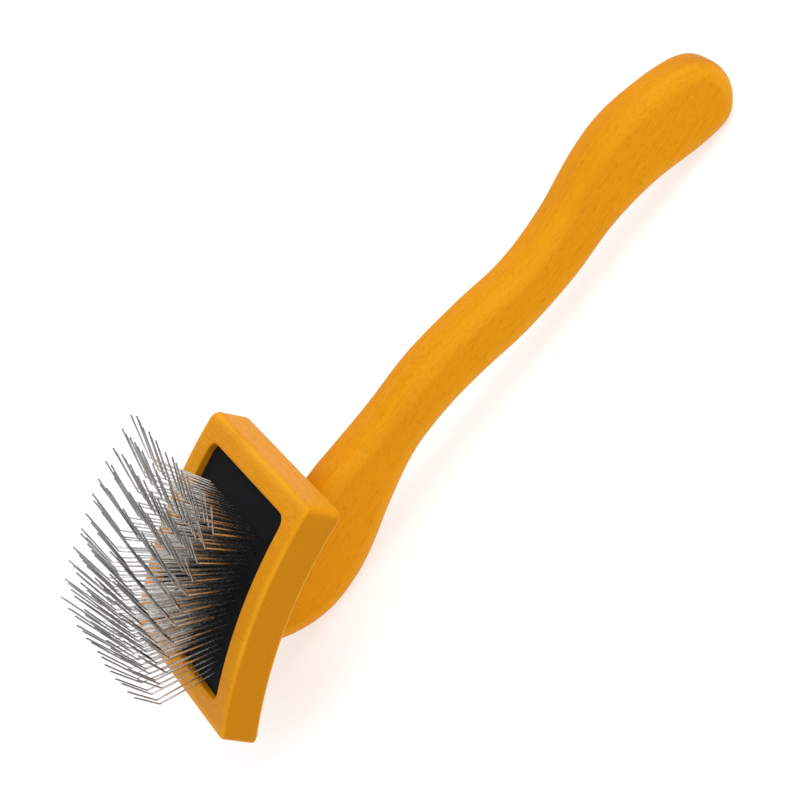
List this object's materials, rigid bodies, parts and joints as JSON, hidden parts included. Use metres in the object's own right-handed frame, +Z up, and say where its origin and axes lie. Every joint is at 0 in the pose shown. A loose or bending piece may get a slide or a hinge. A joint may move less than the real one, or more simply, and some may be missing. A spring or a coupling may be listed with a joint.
{
  "type": "slicker brush",
  "caption": "Pet slicker brush: square wooden head with a rubber pad of bent steel pins, on a flat S-shaped wooden handle.",
  "frame": {"origin": "middle of the footprint, on the surface that the brush lies on, back down and pins up", "axes": "+X across the brush's width, +Y from the head towards the handle's tip, +Z up"},
  "size_m": [0.085, 0.2868, 0.0903],
  "materials": {
    "stained_wood": "satin orange-yellow stain, grain showing",
    "pad_rubber": "matte black, faint cloth grain",
    "foam": "open foam",
    "pin_steel": "bright drawn wire",
    "screw_steel": "zinc plated"
  },
  "bodies": {
    "brush": {"head_block": "stained_wood", "handle": "stained_wood", "rubber_pad": "pad_rubber", "foam_cushion": "foam", "screw_front": "screw_steel", "screw_rear": "screw_steel"},
    "pin_row_01": {"pin_row_01": "pin_steel"},
    "pin_row_02": {"pin_row_02": "pin_steel"},
    "pin_row_03": {"pin_row_03": "pin_steel"},
    "pin_row_04": {"pin_row_04": "pin_steel"},
    "pin_row_05": {"pin_row_05": "pin_steel"},
    "pin_row_06": {"pin_row_06": "pin_steel"},
    "pin_row_07": {"pin_row_07": "pin_steel"},
    "pin_row_08": {"pin_row_08": "pin_steel"},
    "pin_row_09": {"pin_row_09": "pin_steel"},
    "pin_row_10": {"pin_row_10": "pin_steel"},
    "pin_row_11": {"pin_row_11": "pin_steel"},
    "pin_row_12": {"pin_row_12": "pin_steel"}
  },
  "joints": [
    {"name": "row_rock_01", "type": "hinge", "parent": "brush", "child": "pin_row_01", "pos_m": [0, -0.12319, 0.0344], "axis": [1, 0, 0], "range_deg": [-6, 6], "stiffness_Nm_per_rad": 0.6},
    {"name": "row_rock_02", "type": "hinge", "parent": "brush", "child": "pin_row_02", "pos_m": [0, -0.11923, 0.0366], "axis": [1, 0, 0], "range_deg": [-6, 6], "stiffness_Nm_per_rad": 0.6},
    {"name": "row_rock_03", "type": "hinge", "parent": "brush", "child": "pin_row_03", "pos_m": [0, -0.11523, 0.03869], "axis": [1, 0, 0], "range_deg": [-6, 6], "stiffness_Nm_per_rad": 0.6},
    {"name": "row_rock_04", "type": "hinge", "parent": "brush", "child": "pin_row_04", "pos_m": [0, -0.11119, 0.04069], "axis": [1, 0, 0], "range_deg": [-6, 6], "stiffness_Nm_per_rad": 0.6},
    {"name": "row_rock_05", "type": "hinge", "parent": "brush", "child": "pin_row_05", "pos_m": [0, -0.10711, 0.04258], "axis": [1, 0, 0], "range_deg": [-6, 6], "stiffness_Nm_per_rad": 0.6},
    {"name": "row_rock_06", "type": "hinge", "parent": "brush", "child": "pin_row_06", "pos_m": [0, -0.10299, 0.04437], "axis": [1, 0, 0], "range_deg": [-6, 6], "stiffness_Nm_per_rad": 0.6},
    {"name": "row_rock_07", "type": "hinge", "parent": "brush", "child": "pin_row_07", "pos_m": [0, -0.09883, 0.04606], "axis": [1, 0, 0], "range_deg": [-6, 6], "stiffness_Nm_per_rad": 0.6},
    {"name": "row_rock_08", "type": "hinge", "parent": "brush", "child": "pin_row_08", "pos_m": [0, -0.09463, 0.04765], "axis": [1, 0, 0], "range_deg": [-6, 6], "stiffness_Nm_per_rad": 0.6},
    {"name": "row_rock_09", "type": "hinge", "parent": "brush", "child": "pin_row_09", "pos_m": [0, -0.0904, 0.04914], "axis": [1, 0, 0], "range_deg": [-6, 6], "stiffness_Nm_per_rad": 0.6},
    {"name": "row_rock_10", "type": "hinge", "parent": "brush", "child": "pin_row_10", "pos_m": [0, -0.08612, 0.05053], "axis": [1, 0, 0], "range_deg": [-6, 6], "stiffness_Nm_per_rad": 0.6},
    {"name": "row_rock_11", "type": "hinge", "parent": "brush", "child": "pin_row_11", "pos_m": [0, -0.0818, 0.05182], "axis": [1, 0, 0], "range_deg": [-6, 6], "stiffness_Nm_per_rad": 0.6},
    {"name": "row_rock_12", "type": "hinge", "parent": "brush", "child": "pin_row_12", "pos_m": [0, -0.07744, 0.05301], "axis": [1, 0, 0], "range_deg": [-6, 6], "stiffness_Nm_per_rad": 0.6}
  ]
}
